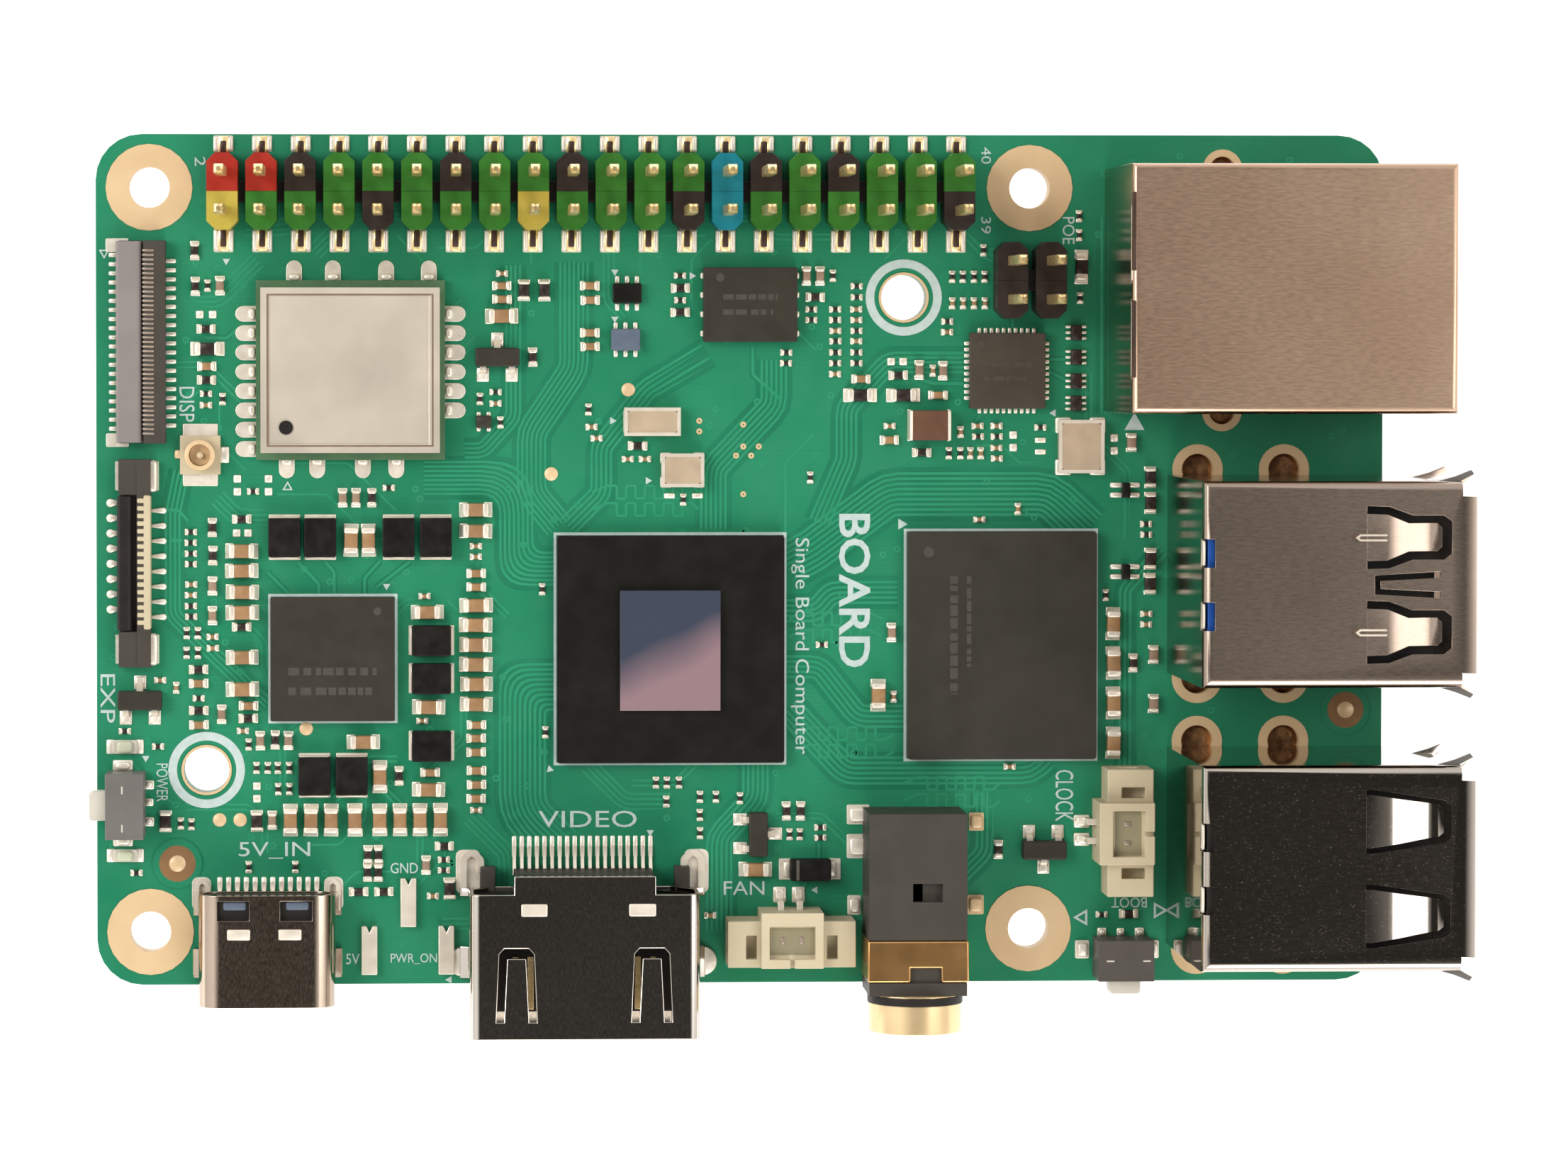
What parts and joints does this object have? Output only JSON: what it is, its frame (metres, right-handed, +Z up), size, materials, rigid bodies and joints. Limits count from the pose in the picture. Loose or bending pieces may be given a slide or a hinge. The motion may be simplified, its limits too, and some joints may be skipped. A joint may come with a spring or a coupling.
{
  "type": "single board computer",
  "caption": "Credit-card sized computer board with stacked serial ports, network jack, pin header, side ports, push buttons and flip-latch flat cable sockets.",
  "frame": {"origin": "centre of the whole object's box on the surface it stands on, under the solder tails and the card socket", "axes": "+X along the long side towards the stacked ports and network jack, +Y towards the pin header, +Z up out of the component side"},
  "size_m": [0.0886, 0.059, 0.0193],
  "materials": {
    "circuit_board": "green solder mask, satin",
    "gold": "gold plated, satin",
    "tin": "tinned or nickel plated sheet, bright",
    "shield": "nickel plated shell, satin",
    "black_plastic": "moulded, satin",
    "epoxy": "moulded chip body, matt",
    "silicon": "polished bare die",
    "blue_plastic": "moulded, satin",
    "cream_plastic": "moulded, satin",
    "grey_plastic": "moulded, satin",
    "white_plastic": "moulded, satin",
    "laminate": "dark laminate, satin",
    "lens": "diffuse light pipe"
  },
  "bodies": {
    "board": {"circuit_board": "circuit_board", "mount_ring_1": "gold", "mount_ring_2": "gold", "mount_ring_3": "gold", "mount_ring_4": "gold", "processor_package": "epoxy", "processor_die": "silicon", "memory_package": "epoxy", "power_chip": "epoxy", "network_chip": "epoxy", "flash_chip": "epoxy", "wireless_carrier": "laminate", "wireless_shield": "tin", "crystal_1": "tin", "crystal_2": "tin", "crystal_3": "tin", "pin_header": "black_plastic", "supply_header": "black_plastic", "network_shield": "shield", "network_housing": "black_plastic", "network_contacts": "gold", "network_indicator_1": "lens", "network_indicator_2": "lens", "usb_a_shell": "shield", "usb_a_divider": "tin", "usb_a_upper_insert": "blue_plastic", "usb_a_lower_insert": "blue_plastic", "usb_b_shell": "shield", "usb_b_divider": "tin", "usb_b_upper_insert": "black_plastic", "usb_b_lower_insert": "black_plastic", "video_shell": "tin", "video_insert": "black_plastic", "power_port_shell": "tin", "power_port_insert": "black_plastic", "audio_body": "black_plastic", "audio_barrel": "gold", "audio_saddle": "gold", "fan_socket_housing": "cream_plastic", "fan_socket_pin_1": "tin", "fan_socket_pin_2": "tin", "clock_socket_housing": "cream_plastic", "clock_socket_pin_1": "tin", "clock_socket_pin_2": "tin", "antenna_base": "white_plastic", "antenna_ring": "gold", "display_socket_housing": "black_plastic", "expansion_socket_housing": "black_plastic", "power_button_body": "grey_plastic", "boot_button_body": "grey_plastic", "ground_tab": "tin", "supply_tab": "tin", "power_on_tab": "tin", "card_socket_shell": "tin", "card_socket_base": "black_plastic"},
    "power_plunger": {"power_button_plunger": "white_plastic"},
    "boot_plunger": {"boot_button_plunger": "white_plastic"},
    "display_latch": {"display_socket_latch": "grey_plastic"},
    "expansion_latch": {"expansion_socket_latch": "black_plastic"}
  },
  "joints": [
    {"name": "power_button_press", "type": "slide", "parent": "board", "child": "power_plunger", "axis": [1, 0, 0], "range_m": [0, 0.00025], "stiffness_N_per_m": 200},
    {"name": "boot_button_press", "type": "slide", "parent": "board", "child": "boot_plunger", "axis": [0, 1, 0], "range_m": [0, 0.00025], "stiffness_N_per_m": 200},
    {"name": "display_latch_flip", "type": "hinge", "parent": "board", "child": "display_latch", "pos_m": [-0.04116, 0.01582, 0.00377], "axis": [0, 1, 0], "range_deg": [0, 90]},
    {"name": "expansion_latch_flip", "type": "hinge", "parent": "board", "child": "expansion_latch", "pos_m": [-0.04181, 0.0013, 0.00377], "axis": [0, 1, 0], "range_deg": [0, 90]}
  ]
}
